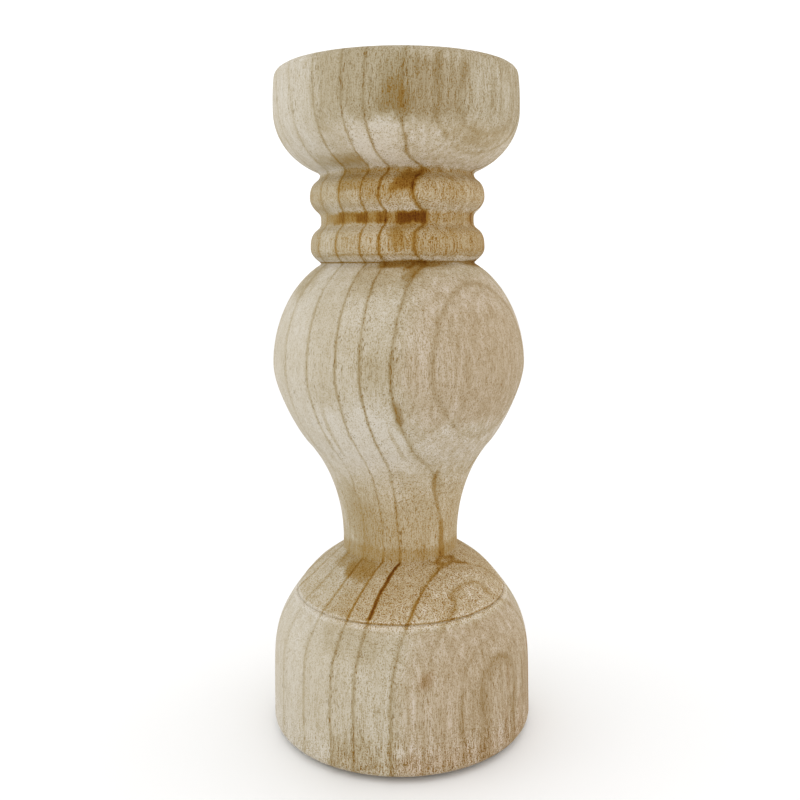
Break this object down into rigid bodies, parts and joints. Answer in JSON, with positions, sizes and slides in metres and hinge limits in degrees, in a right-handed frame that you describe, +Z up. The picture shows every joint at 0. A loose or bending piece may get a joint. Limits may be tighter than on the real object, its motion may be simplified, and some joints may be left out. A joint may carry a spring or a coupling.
{
  "type": "pillar candle holder",
  "caption": "Turned wooden pillar candle holder with a cup, beads, a bulb, a slim stem and a domed base, and a loose metal pan with a pricket.",
  "frame": {"origin": "on the holder's axis, at the height of the table that the felt pads stand on", "axes": "+Z up along the turning axis; +X and +Y are alike, with the pads on the diagonals"},
  "size_m": [0.1158, 0.1158, 0.2818],
  "materials": {
    "bare_wood": "bare turned and sanded wood, matte",
    "pan_steel": "satin",
    "grey_felt": "pressed felt"
  },
  "bodies": {
    "holder": {"turned_body": "bare_wood", "felt_pad_1": "grey_felt", "felt_pad_2": "grey_felt", "felt_pad_3": "grey_felt", "felt_pad_4": "grey_felt"},
    "pan": {"candle_pan": "pan_steel", "candle_pricket": "pan_steel"}
  },
  "joints": [
    {"name": "pan_lift", "type": "slide", "parent": "holder", "child": "pan", "axis": [0, 0, 1], "range_m": [0, 0.035]}
  ]
}
